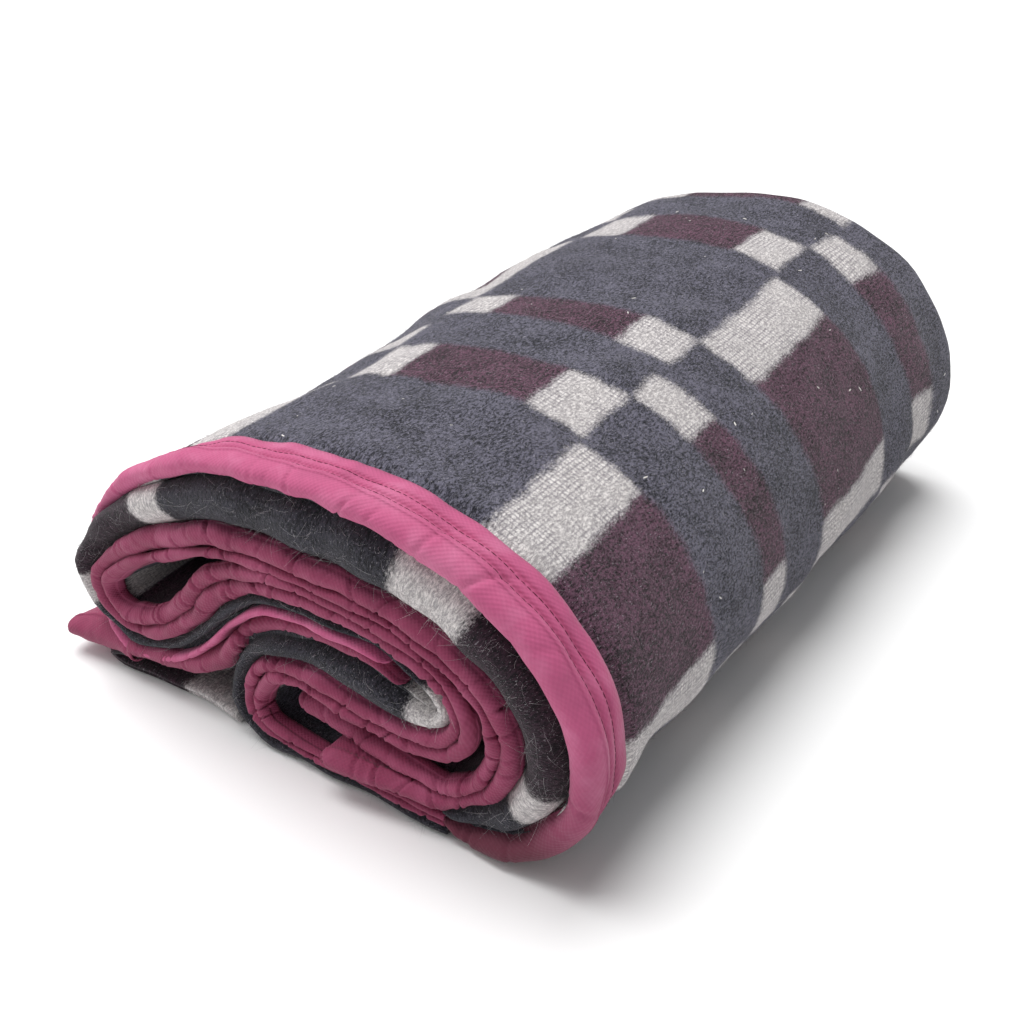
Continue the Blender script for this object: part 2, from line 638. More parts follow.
@dataclass(frozen=True)
class BrushedWool(Finish):
    """Melton-like brushed wool, woven then raised: matt, with a short tangled nap of light and dark hairs."""

    grey: tuple[str, str] = ("#191a22", "#6a6877")  # a yarn's dark and light hairs
    maroon: tuple[str, str] = ("#170c12", "#684659")
    white: tuple[str, str] = ("#a39e9f", "#e9e4e2")
    in_fold: str = "#0a0a10"
    ground: str = "#6d6770"  # shows between the threads of a white block
    fluff: str = "#b9b5bb"
    hair_tip: str = "#d8d4d6"
    bump: float = 0.55
    lift: float = 0.0  # how far single hairs are paler than the cloth they stand on
    lay: tuple[float, float, float] = (1.2, 0.6, 1.0)  # clumps of hairs in a mm, round the roll and along it
    swirl: tuple[float, float, float] = (3.2, 3.2, 3.0)  # how far the clumps are bent, in their own width
    loose: tuple[float, float, float] = (1.9, 1.9, 0.0)  # how far the threads lie out of line, in mm
    threads: tuple[float, float] = (4.6, 3.8)  # two threads' width in mm, round the roll and along it
    fold_ends: tuple[float, float] = (-0.171, -0.160)  # along the roll, in metres
    pattern: CheckPattern = CheckPattern()

    def surface(self, tree: Tree) -> dict[str, object]:
        """Colours, clumped hairs and a matt sheen.

        Args:
            tree: The material's tree.

        Returns:
            The shader's inputs by name.
        """
        place = tree.add("ShaderNodeAttribute", attribute_name="check").outputs["Vector"]
        body = tree.add("ShaderNodeTexCoord").outputs["Object"]
        sides = tree.add("ShaderNodeSeparateXYZ", {0: place})
        plain = tree.add("ShaderNodeCombineXYZ", {0: sides.outputs[2], 1: sides.outputs[1]})

        # Hairs lie mostly along the roll: about 0.5 mm wide and 3 mm long where they clump.
        lay = tree.add(VECTOR, {0: plain, 1: self.lay}, operation="MULTIPLY")
        swirl = tree.add(NOISE, {"Vector": body, "Scale": 150.0, "Detail": 3.0})
        bent = tree.add(VECTOR, {0: swirl.outputs["Color"], 1: self.swirl}, operation="MULTIPLY")
        lay = tree.add(VECTOR, {0: lay, 1: bent}, operation="ADD")
        hairs = tree.add(NOISE, {"Vector": lay, "Scale": 1.0, "Detail": 5.0, "Roughness": 0.78})
        # Cloudy patches, some 15 mm across, where the nap is worn or brushed another way.
        cloud = tree.add(NOISE, {"Vector": body, "Scale": 60.0, "Detail": 3.0})
        soft = tree.add(MATH, {0: cloud, 1: 0.16}, operation="MULTIPLY")
        mottle = tree.add(MATH, {0: hairs, 1: soft}, operation="ADD")
        heather = tree.add(RANGE, {0: mottle, 1: 0.505, 2: 0.665})
        yarns = [tree.add(MIX, {0: heather, 6: linear(dark), 7: linear(light)}, data_type="RGBA")
                 for dark, light in (self.grey, self.maroon, self.white)]

        # The fold at the bound end looks darker: its nap stands on end there and takes the light in.
        start, stop = self.fold_ends
        along = tree.add("ShaderNodeSeparateXYZ", {0: body}).outputs[1]
        shade = tree.add(RANGE, {0: along, 1: start, 2: stop, 3: 0.7, 4: 0.0})
        grey, red = (tree.add(MIX, {0: shade, 6: yarn, 7: linear(self.in_fold)}, data_type="RGBA")
                     for yarn in yarns[:2])
        # In the white blocks the nap is thin and the threads show as a grid, but not on the fold.
        thin = tree.add(RANGE, {0: cloud, 1: 0.36, 2: 0.52})
        flat = tree.add(RANGE, {0: along, 1: start, 2: stop, 3: 0.25, 4: 1.0})
        gaps = self._gaps(tree, plain, hairs.outputs["Color"])
        for share in (thin, flat):
            gaps = tree.add(MATH, {0: gaps, 1: share}, operation="MULTIPLY")
        pale = tree.add(MIX, {0: gaps, 6: yarns[2], 7: linear(self.ground)}, data_type="RGBA")

        # Single pale hairs and bits of fluff, under a millimetre across.
        fluff = tree.add(NOISE, {"Vector": lay, "Scale": 2.1, "Detail": 1.0})
        bits = tree.add(RANGE, {0: fluff, 1: 0.66, 2: 0.76, 3: 0.0, 4: 0.55})
        white, maroon = self.pattern.masks(tree, place)
        colour = grey
        for share, other in ((maroon, red), (white, pale), (bits, linear(self.fluff)),
                             (self.lift, linear(self.hair_tip))):
            colour = tree.add(MIX, {0: share, 6: colour, 7: other}, data_type="RGBA")
        inputs = {"Base Color": colour, "Roughness": 0.95, "Sheen Weight": 0.14, "Sheen Roughness": 0.55,
                  "Specular IOR Level": 0.15}
        if self.bump:
            tuft = tree.add(NOISE, {"Vector": body, "Scale": 900.0, "Detail": 2.0, "Roughness": 0.7})
            height = tree.add(MATH, {0: hairs, 1: tuft}, operation="ADD")
            inputs["Normal"] = tree.add("ShaderNodeBump", {"Height": height, "Strength": self.bump,
                                                           "Distance": 0.0012})
        return inputs

    def _gaps(self, tree: Tree, plain: bpy.types.Node, astray: bpy.types.NodeSocket) -> bpy.types.Node:
        """Where the gaps between the threads are.

        Args:
            tree: The material's tree.
            plain: Place on the cloth, in mm.
            astray: How the threads wander.

        Returns:
            The node that gives the mask.
        """
        moved = tree.add(VECTOR, {0: astray, 1: self.loose}, operation="MULTIPLY")
        moved = tree.add(VECTOR, {0: plain, 1: moved}, operation="ADD")
        parts = tree.add("ShaderNodeSeparateXYZ", {0: moved})
        grid = ripples(tree, parts.outputs[:2], self.threads)
        grid = tree.add(MATH, {0: grid}, operation="ABSOLUTE")
        return tree.add(RANGE, {0: grid, 1: 0.5, 2: 0.05, 3: 0.0, 4: 0.62})


def ripples(tree: Tree, places: Sequence[bpy.types.NodeSocket], waves: Sequence[float]) -> bpy.types.Node:
    """Two sets of even waves that cross, multiplied.

    Args:
        tree: The tree to add to.
        places: The two coordinates, in mm.
        waves: Length of the waves along each, in mm.

    Returns:
        The node that gives their product.
    """
    sines = []
    for place, wave in zip(places, waves):
        angle = tree.add(MATH, {0: place, 1: 2 * math.pi / wave}, operation="MULTIPLY")
        sines.append(tree.add(MATH, {0: angle}, operation="SINE"))
    return tree.add(MATH, {0: sines[0], 1: sines[1]}, operation="MULTIPLY")


@dataclass(frozen=True)
class WovenRibbon(Finish):
    """Polyester ribbon in a fine twill: soft sheen, with a diagonal rib and a slightly worn colour."""

    name: str = "woven polyester ribbon"
    colour: str = "#8c3757"
    deep: str = "#581c36"
    worn: str = "#b05a7c"
    unfaded: str = "#53212d"
    fading: Ends | None = None  # stretch of the edge over which the fading sets in, in mm
    rib: float = 1.2  # the real rib is about 0.5 mm, drawn twice as coarse so that it shows

    def surface(self, tree: Tree) -> dict[str, object]:
        """A twill with worn and dull patches, some 15 mm across.

        Args:
            tree: The material's tree.

        Returns:
            The shader's inputs by name.
        """
        place = tree.add("ShaderNodeAttribute", attribute_name="check").outputs["Vector"]
        body = tree.add("ShaderNodeTexCoord").outputs["Object"]
        parts = tree.add("ShaderNodeSeparateXYZ", {0: place})
        twill = ripples(tree, parts.outputs[:2], (self.rib * math.sqrt(2),) * 2)
        blotch = tree.add(NOISE, {"Vector": body, "Scale": 55.0, "Detail": 4.0, "Roughness": 0.6})
        fine = tree.add(NOISE, {"Vector": body, "Scale": 1100.0, "Detail": 2.0})
        # Each layer: what drives it, from and to which value, its share there, and its colour.
        layers = [(twill, -1.0, 1.0, 0.16, 0.0, self.deep), (blotch, 0.5, 0.72, 0.0, 0.45, self.worn),
                  (blotch, 0.28, 0.46, 0.3, 0.0, self.deep)]
        if self.fading:
            layers.append((parts.outputs[0], *self.fading, 0.9, 0.0, self.unfaded))
        colour = linear(self.colour)
        for driver, low, high, before, after, other in layers:
            share = tree.add(RANGE, {0: driver, 1: low, 2: high, 3: before, 4: after})
            colour = tree.add(MIX, {0: share, 6: colour, 7: linear(other)}, data_type="RGBA")
        height = tree.add(MATH, {0: twill, 1: fine}, operation="ADD")
        bump = tree.add("ShaderNodeBump", {"Height": height, "Strength": 0.25, "Distance": 0.0003})
        return {"Base Color": colour, "Roughness": 0.72, "Normal": bump, "Sheen Weight": 0.08,
                "Sheen Roughness": 0.5, "Specular IOR Level": 0.3}


@dataclass(frozen=True)
class PlainThread(Finish):
    """Spun thread or fluff: two near colours, matt, a little uneven."""

    colour: str
    other: str

    def surface(self, tree: Tree) -> dict[str, object]:
        """Two colours twisted together.

        Args:
            tree: The material's tree.

        Returns:
            The shader's inputs by name.
        """
        body = tree.add("ShaderNodeTexCoord").outputs["Object"]
        twist = tree.add(NOISE, {"Vector": body, "Scale": 700.0, "Detail": 2.0})
        colour = tree.add(MIX, {0: twist, 6: linear(self.colour), 7: linear(self.other)}, data_type="RGBA")
        return {"Base Color": colour, "Roughness": 0.85, "Specular IOR Level": 0.2}


@dataclass(frozen=True)
class MattPaper(Finish):
    """The studio's paper floor."""

    def surface(self, tree: Tree) -> dict[str, object]:
        """An even off-white."""
        return {"Base Color": linear("#f4f4f4"), "Roughness": 0.9, "Specular IOR Level": 0.1}


@dataclass
class WoundCloth:
    """The blanket's cloth: two sheets, each in four panels, wound as a strip. Sizes in mm."""

    ply: float = 3.3
    near_fold_tip: float = 2.0
    near_fold_depth: float = 9.0
    hidden_fold_tip: float = 5.5  # behind the tip of the fold that shows
    hidden_fold_depth: float = 4.0
    far_fold_depth: float = 8.5
    inner_far_tip: float = 5.0  # in front of the outer sheet's far folds
    inner_far_depth: float = 4.0
    fine_step: float = 3.5
    coarse_step: float = 5.0
    swell: float = 0.8
    ripple: float = 0.3
    hidden_ripple: float = 0.35
    puff: float = 1.0  # of the cloth just behind the ribbon
    tucked: float = 1.9  # how far the cloth dips under the ribbon
    dip: float = 3.0  # the length over which it does
    far_unevenness: float = 0.8
    near_unevenness: float = 0.9

    def __post_init__(self) -> None:
        """Lay out the steps along the strip."""
        self.line = SectionLine(STRIP_ROWS, STRIP_COLUMNS, Sag())
        stretches = ((OPEN_END, PANELS_BEGIN, self.coarse_step),
                     (PANELS_BEGIN, OUTER_TURN_ENDS, self.fine_step),
                     (OUTER_TURN_ENDS, LOOP_SHOULDER, self.coarse_step),
                     (LOOP_SHOULDER, FLOOR_END, self.coarse_step))
        parts = [self.line.steps(*stretch) for stretch in stretches]
        self.t = np.concatenate([parts[0], *(p[1:] for p in parts[1:])])
        self.around = self.line.outline_arc(self.t, STEP)
        self.columns = {n: self.line.column(n, self.t) for n in STRIP_COLUMNS}
        self.swells = Relief(11, 90, 70)
        self.ripples = Relief(12, 26, 40)
        self.fold_swells = Relief(13, 45, 60)

    def _mask(self, first_panel: int, whole: int, last_from: int, begins: float) -> np.ndarray:
        """Which cells of a sheet's grid there are.

        Args:
            first_panel: Points in the first panel.
            whole: Points in the whole profile.
            last_from: First point of the last fold.
            begins: The row at which the first panel's open end is.

        Returns:
            The mask.
        """
        mask = np.ones((len(self.t) - 1, whole - 1), bool)
        mask[:int(np.searchsorted(self.t, PANELS_BEGIN - 1e-6)), first_panel - 1:] = False
        mask[int(np.searchsorted(self.t, LOOP_SHOULDER - 1e-6)):, last_from - 1:] = False
        mask[:int(np.searchsorted(self.t, begins))] = False
        return mask

    def _set_back(self, run: Profile, table: Sequence[Sequence[float]]) -> Profile:
        """Move a panel's bound edge to where its ribbon has it.

        Args:
            run: The panel.
            table: How far the edge is set back, by row of the strip.

        Returns:
            The panel, moved.
        """
        unmoved, whole_shift = 50, 8  # distances from the bound end
        shift = np.interp(self.t, *zip(*table))[:, None]
        run.y = run.y + shift * np.clip((unmoved - run.y) / (unmoved - whole_shift), 0, 1)
        return run

    def _pushed(self, run: Profile) -> Profile:
        """Let the fold at the bound end lean out on the left and swell inwards elsewhere.

        Args:
            run: A panel or a fold.

        Returns:
            The same, moved.
        """
        lean, swell = (np.interp(self.t, *zip(*table))[:, None] for table in (FOLD_LEAN, FOLD_SWELL))
        outward = np.clip(-run.offset / self.columns["fold"][:, None], 0, 1)
        run.offset = run.offset - lean * np.clip((14 - run.y) / 6, 0, 1) * outward
        run.offset = run.offset + swell * np.clip((40 - run.y) / 16, 0, 1) * (1 - outward)
        return run

    def _swelled(self, profile: Profile) -> Profile:
        """Make the cloth uneven: swells on the outside, puffed up behind the ribbon.

        Args:
            profile: The sheet's plain profile.

        Returns:
            The uneven profile.
        """
        fold, wrap = self.columns["fold"][:, None], self.columns["wrap"][:, None]
        outside = np.clip((-profile.offset - fold * 0.5) / np.maximum(fold * 0.5 + wrap - self.ply, 1), 0, 1)
        u = self.around[:, None]
        high = self.swell * self.swells.at(u, profile.y) + self.ripple * self.ripples.at(u, profile.y)
        free_from = RIBBON_DEPTH + self.dip
        edge = free_from + np.interp(self.t, *zip(*OUTER_SET_BACK))[:, None]
        high = high + self.puff * np.exp(-(((profile.y - edge - 7) / 9) ** 2))
        high = high - self.tucked * np.clip((edge - profile.y) / self.dip, 0, 1)
        high = high * np.clip((ROLL_LENGTH - profile.y) / 25, 0.25, 1) * np.clip(wrap / 4, 0, 1)
        profile.offset = profile.offset - outside * high
        inside = np.clip((profile.offset - self.columns["second"][:, None]) / 4, 0, 1)
        profile.offset = profile.offset + inside * self.hidden_ripple * self.ripples.at(u, profile.y + 90)
        profile.offset = profile.offset - inside * 1.1 * np.clip((12 - profile.y) / 3, 0, 1)
        # The cloth is pressed to half its thickness between the two sides of a ribbon.
        flat = np.abs(profile.normal_o) > 0.999
        bound = flat & ((profile.offset > 0) | (profile.offset < -fold))
        edge = np.where(profile.offset > 0, free_from, edge)
        pressed = 1 - 0.5 * np.clip((edge - profile.y) / self.dip, 0, 1)
        profile.half = profile.half * np.where(bound, pressed, 1)
        opening = np.sqrt(np.clip(self.line.arc_at(self.t) / 7, 0.03, 1))[:, None]
        profile.half = profile.half * opening
        return profile

    def _outer_sheet(self, half: dict[str, np.ndarray], near: np.ndarray, far: np.ndarray) -> list[Profile]:
        """Runs and folds of the sheet whose last panel is the roll's outside.

        Args:
            half: Half the thickness of the panels in each group of plies.
            near: Where the folds at the bound end have their tips.
            far: Where those at the far end have theirs.

        Returns:
            Four panels with three folds between them.
        """
        c = self.columns
        passed_on = SWELL_PASSED_ON * np.interp(self.t, *zip(*FOLD_SWELL))
        first = c["second"] + c["part"] + c["inner"] + passed_on - half["inner"] - 0.3
        second, third = -3 * c["fold"] / 8, -5 * c["fold"] / 8
        last = -c["fold"] - c["wrap"] + half["wrap"] + 0.15
        end = ROLL_LENGTH - self.ply / 2 - self.far_fold_depth
        fine = np.concatenate([np.linspace(end, end - 24, 6)[:-1], np.linspace(end - 24, 44, 60)[:-1],
                               np.linspace(44, 5, 12)])
        fold = half["fold"]
        return [
            self._set_back(Profile.panel((5, 9, 12, 22, 34, 60, 110, 180, 250, 310, 335, end), first,
                                         half["inner"], 1,
                                         (130, 126, 123, 113, 101, 75, 25, -45, -115, -175, -200, -213)),
                           INNER_SET_BACK),
            Profile.turn(first, second, half["inner"], fold, far, self.far_fold_depth, 1, 8, (-213, -240)),
            Profile.panel((end, 290, 170, 60, 13), second, fold, -1, (-240, -298, -418, -528, -575)),
            Profile.turn(second, third, fold, fold, near + self.hidden_fold_tip, self.hidden_fold_depth,
                         -1, 5, (-575, -590)),
            Profile.panel((13, 60, 170, 290, end), third, fold, 1, (750, 700, 590, 470, 408)),
            Profile.turn(third, last, fold, half["wrap"], far, self.far_fold_depth, 1, 8, (375, 352)),
            self._set_back(Profile.panel(fine, last, half["wrap"], -1, fine), OUTER_SET_BACK),
        ]

    def _inner_sheet(self, half: dict[str, np.ndarray], near: np.ndarray, far: np.ndarray) -> list[Profile]:
        """Runs and folds of the sheet whose middle fold shows at the bound end.

        Args:
            half: Half the thickness of the panels in each group of plies.
            near: Where the folds at the bound end have their tips.
            far: Where those of the outer sheet at the far end have theirs.

        Returns:
            Four panels with three folds between them.
        """
        c = self.columns
        swell = np.interp(self.t, *zip(*FOLD_SWELL))
        fold = half["fold"]
        first = (c["second"] + swell + SWELL_PASSED_ON * swell) / 2
        second, third = -fold - 0.1, -c["fold"] + fold + 0.1
        last = -c["fold"] - half["wrap"] - 0.1
        tip = far - self.inner_far_tip
        end = ROLL_LENGTH - self.ply / 2 - self.inner_far_tip - self.inner_far_depth
        edge = self.near_fold_tip + self.near_fold_depth
        return [
            self._set_back(Profile.panel((5, 22, 26, 100, 220, end), first, half["second"], 1,
                                         (5, 22, 26, 100, 220, end)), SECOND_SET_BACK),
            Profile.turn(first, second, half["second"], fold, tip, self.inner_far_depth, 1, 4, (350, 362)),
            self._pushed(Profile.panel((end, 220, 100, 40, 32, 24, edge + 4, edge), second, fold, -1,
                                       (365, 250, 120, 70, 62, 54, 50, 46))),
            self._pushed(Profile.turn(second, third, fold, fold, near, self.near_fold_depth,
                                      -1, 13, (46, 20))),
            self._pushed(Profile.panel((edge, edge + 4, 24, 36, 100, 220, end), third, fold, 1,
                                       (20, 16, 12, 2, -60, -180, -300))),
            Profile.turn(third, last, fold, half["wrap"], tip, self.inner_far_depth, 1, 4, (350, 362)),
            self._set_back(Profile.panel((end, 220, 100, 40, 22, 5), last, half["wrap"], -1,
                                         (365, 250, 120, 40, 22, 5)), OUTER_SET_BACK),
        ]

    def build(self) -> bpy.types.Object:
        """Build the cloth.

        Returns:
            The cloth's object.
        """
        c = self.columns
        most = self.ply / 2
        half = {"inner": np.minimum(most, 0.44 * c["inner"]), "second": np.minimum(most, 0.42 * c["second"]),
                "fold": np.minimum(most, 0.46 * c["fold"] / 4),
                "wrap": np.maximum(np.minimum(most, 0.23 * c["wrap"]), 0.08)}
        far = ROLL_LENGTH - most + self.far_unevenness * self.fold_swells.at(self.around, 0)
        near = self.near_fold_tip + self.near_unevenness * self.fold_swells.at(self.around, 50)
        parts = MeshParts()
        for runs, begins in ((self._outer_sheet(half, near, far), OPEN_END),
                             (self._inner_sheet(half, near, far), SECOND_END)):
            ends = np.cumsum([run.y.shape[1] for run in runs])
            profile = self._swelled(Profile.join(runs))
            left, right = face_pair(self.line, self.t, profile)
            check = self._check(profile, begins == OPEN_END)
            thick_grid(parts, left, right, self._mask(ends[0], ends[-1], ends[4], begins), check)
            if begins == OPEN_END:
                self.outside = left[:, ends[5]:], check[:, ends[5]:]
            else:
                span = slice(ends[2] - 3, ends[3] + 3)
                self.near_fold = right[:, span][:, ::-1], check[:, span][:, ::-1]
        self._add_loose_run(parts)
        return parts.build("wool_cloth_folded")

    def _check(self, profile: Profile, outer: bool) -> np.ndarray:
        """Places in the check, pulled askew on the outer sheet and shifted round the roll on the inner one.

        Args:
            profile: The sheet's course.
            outer: Whether the sheet is the outer one.

        Returns:
            A grid of places: round the roll and along it as the check has it, then the true distance round.
        """
        around = self.around[:, None]
        u, v = around, profile.across
        if outer:
            for c, at, reach_c, reach_y, du, dv in CHECK_DRIFT:
                pull = np.exp(-(((around - c) / reach_c) ** 2) - ((profile.y - at) / reach_y) ** 2)
                u, v = u + pull * du, v + pull * dv
        else:
            u = np.interp(around, *zip(*CHECK_AT_FOLD))
        return np.stack(np.broadcast_arrays(u, v, around), -1)

    @staticmethod
    def _add_loose_run(parts: MeshParts) -> None:
        """The outer pair's loose end: out to the left, round and back beneath itself.

        Args:
            parts: What it is added to.
        """
        line = SectionLine(LOOSE_RUN_ROWS, ("thick",))
        t = line.steps(0, len(LOOSE_RUN_ROWS) - 1, 3.2)
        ys = np.concatenate([[4, 5, 7, 10, 15, 20, 27], np.linspace(40, 340, 22), [350, 355]])
        edge = np.clip(np.minimum(ys - 3.6, ROLL_LENGTH - ys) / 3.0, 0.2, 1) ** 0.5
        thick = line.column("thick", t)[:, None]
        arc = line.arc_at(t)[:, None]
        inset = 1.6 * np.sin(arc / 17.0)
        under = 3.0 * np.clip((70 - arc) / 30, 0, 1)  # the upper run stays inside its ribbon
        place = np.interp(arc, *zip(*CHECK_ON_LOOSE_RUN))
        relief = 0.5 * Relief(21, 40, 50).at(arc, ys[None, :])
        one = np.ones((len(t), len(ys)))
        for ply, behind in ((0.5, 0), (-0.5, 1.5)):
            y = one * ys + np.clip(1 - (ys - 4) / 30, 0, 1) * (inset + behind + under)
            offset = one * thick * ply * 1.02 + relief
            profile = Profile(y, offset, one * thick * 0.47 * edge, one * 0, one, one)
            left, right = face_pair(line, t, profile)
            check = np.stack([one * place, one * ys + 10, one * arc], -1)
            thick_grid(parts, left, right, np.ones((len(t) - 1, len(ys) - 1), bool), check)

    @staticmethod
    def patch(points: np.ndarray, check: np.ndarray) -> bpy.types.Object:
        """A bare copy of part of the surface, for the nap to grow on.

        Args:
            points: Grid of the surface's points.
            check: Grid of their places in the check.

        Returns:
            The patch.
        """
        n, m = points.shape[:2]
        number = np.arange(n * m).reshape(n, m)
        faces = np.stack([number[:-1, :-1], number[1:, :-1], number[1:, 1:], number[:-1, 1:]], -1)
        parts = MeshParts()
        parts.add(points.reshape(-1, 3), faces.reshape(-1, 4), check.reshape(-1, 3))
        return parts.build("patch")


@dataclass
class RibbonBand:
    """A length of ribbon folded round a bound edge. Sizes in mm."""

    name: str
    node: str
    line: SectionLine
    first: float
    last: float
    low: Callable[[np.ndarray], np.ndarray]
    high: Callable[[np.ndarray], np.ndarray]
    seed: int
    wall: float = 0.9
    step: float = 0.85
    puff: float = 0.8
    stitched: float = 0.0  # how far the seams pull the ribbon in
    proud: float = 0.0
    depth: float = RIBBON_DEPTH
    depth_inside: float = RIBBON_DEPTH
    set_back: tuple[tuple[float, float], ...] = ((0.0, 0.0),)
    rounded: tuple[float, float] = (0.0, 0.0)
    flat_width: float = 45.0  # of the ribbon before it is folded round the edge
    faded: bool = False
    crease_gap: float = 10.5
    crease_depth: float = 3.0
    rows: tuple[float, float] = (10.8, 15.6)

    def __post_init__(self) -> None:
        """Lay out the steps along the edge and draw the small creases."""
        self.t = self.line.steps(self.first, self.last, self.step)
        self.s = self.line.arc_at(self.t)
        self.places = np.array(STITCHED_PLACES if self.stitched else PLAIN_PLACES)
        rng = np.random.default_rng(self.seed)
        total = self.s[-1] - self.s[0]
        count = max(1, int(total / self.crease_gap))
        where = self.s[0] + (np.arange(count) + rng.uniform(0.05, 0.95, count)) * total / count
        # Each crease: place along, slant, depth, half width, middle and reach across.
        self.creases = [(s, rng.uniform(-0.7, 0.7), self.crease_depth * rng.uniform(0.3, 1.0) ** 1.8,
                         rng.uniform(0.4, 0.75), rng.uniform(-8, 8), rng.uniform(4, 14)) for s in where]

    def _relief(self, q: np.ndarray) -> np.ndarray:
        """Puckers and creases, as height above the plain ribbon.

        Args:
            q: Distance across the ribbon from its front, outer side negative, as a grid.

        Returns:
            Heights in mm.
        """
        s = self.s[:, None]
        high = 0.12 * Relief(self.seed + 1, 9, 16).at(s, q) + 0.5 * Relief(self.seed + 2, 26, 30).at(s, q)
        for at, slant, deep, wide, middle, reach in self.creases:
            near = np.abs(s - at - slant * q)
            fade = np.exp(-(((q - middle) / reach) ** 2))
            high = high - deep * np.exp(-near / wide) * fade
            high = high + 0.25 * deep * np.exp(-(((near - 2.6 * wide) / (1.5 * wide)) ** 2)) * fade
        return high

    def _side(self, way: int, start: np.ndarray, shift: np.ndarray, mid: np.ndarray,
              half: np.ndarray) -> Profile:
        """One side of the ribbon, puffed up beside its seams and pinched in at them.

        Args:
            way: -1 for the outer side, from its free edge to the front; 1 for the inner side, back again.
            start: Where the side begins behind the front, for each step.
            shift: How far the edge is set back, for each step.
            mid: Offset of the bound edge's middle, for each step.
            half: Half the bound edge's thickness, for each step.

        Returns:
            The side.
        """
        places = self.places[::-way]
        depth = (self.depth if way < 0 else self.depth_inside) + shift
        room = np.maximum(depth, start + 1) - start
        ys = start + (places - SIDE_BEGINS) * room / (RIBBON_DEPTH - SIDE_BEGINS)
        bulge = self.puff * sum(high * np.exp(-(((ys - at) / wide) ** 2)) for high, at, wide in RIBBON_RIDGES)
        pinch = self.stitched * sum(np.exp(-(((ys - shift - row) / 0.7) ** 2)) for row in self.rows)
        out = half + (bulge - pinch) * np.minimum(1, half / 2.5)
        one = np.ones_like(ys)
        return Profile(ys, mid + way * out, one * self.wall / 2, one * 0, one * way, one * 0)

    def _front(self, start: np.ndarray, reach: np.ndarray, mid: np.ndarray, half: np.ndarray) -> Profile:
        """The ribbon's rounded front, from the outer side to the inner one.

        Args:
            start: Where the sides begin, for each step.
            reach: How far the front stands out from there, for each step.
            mid: Offset of the bound edge's middle, for each step.
            half: Half the bound edge's thickness, for each step.

        Returns:
            The front.
        """
        angle = np.linspace(0, math.pi, FRONT_POINTS)
        puffed = half + self.puff * 0.55 * np.minimum(1, half / 2.5)
        normal_y, normal_o = -puffed * np.sin(angle), -reach * np.cos(angle)
        size = np.hypot(normal_y, normal_o)
        one = np.ones_like(size)
        return Profile(start - reach * np.sin(angle), mid - puffed * np.cos(angle), one * self.wall / 2,
                       normal_y / size, normal_o / size, one * 0)

    def build(self) -> bpy.types.Object:
        """Build the ribbon.

        Returns:
            The ribbon's object.
        """
        low, high = self.low(self.t) - self.proud, self.high(self.t)
        s = self.s - self.s[0]
        ends = np.ones_like(s)
        for length, away in zip(self.rounded, (s, s[-1] - s)):
            if length:
                ends *= np.sqrt(np.clip(1 - np.clip(1 - away / length, 0, 1) ** 2, 0.02, 1))
        half = np.maximum((high - low) / 2 - self.wall / 2 - 0.05, 0.25) * ends
        shift = np.interp(self.t, *zip(*self.set_back))
        reach = 0 * half + 6.5 if self.stitched else np.clip(half * 1.15 + 1.2, 1.5, 7.0)
        start = shift + self.wall / 2 + (1 - ends) * 4.0 + reach
        start, reach, shift, mid, half = (a[:, None] for a in (start, reach, shift, (low + high) / 2, half))
        outer, inner = (self._side(way, start, shift, mid, half) for way in (-1, 1))
        profile = Profile.join([outer, self._front(start, reach, mid, half), inner])
        run = np.hypot(np.diff(profile.y, axis=1), np.diff(profile.offset, axis=1))
        q = np.hstack([start * 0, np.cumsum(run, axis=1)])
        q = q - q[:, [len(self.places) + FRONT_POINTS // 2]]
        relief = self._relief(q) * np.minimum(1, 0.35 + half / 4)
        profile.y = profile.y + profile.normal_y * relief
        profile.offset = profile.offset + profile.normal_o * relief
        for hem in (slice(None, 2), slice(-2, None)):
            profile.half[:, hem] *= 0.7
        left, right = face_pair(self.line, self.t, profile)
        parts = MeshParts()
        check = np.stack(np.broadcast_arrays(self.s[:, None], q, 0.0), -1)
        thick_grid(parts, left, right, np.ones((len(s) - 1, q.shape[1] - 1), bool), check)
        self.outer_face, self.outer_y = left, profile.y[:, :len(self.places)]
        return parts.build(self.name)

    def stitch_paths(self) -> list[np.ndarray]:
        """Where the two rows of stitches run on the ribbon's outer side.

        Returns:
            A row of points for each row of stitches.
        """
        columns = (int(np.argmin(np.abs(self.outer_y.mean(0) - row))) for row in self.rows)
        return [self.outer_face[:, column] for column in columns]

    @property
    def length(self) -> float:
        """The band's length along the edge, in metres."""
        return float(self.s[-1] - self.s[0]) * MM


class Grown(Enum):
    """What a node tree grows on a surface or along a line."""

    NAP = "nap"
    TANGLE = "tangle"
    SPECKS = "specks"
    STITCHES = "stitches"


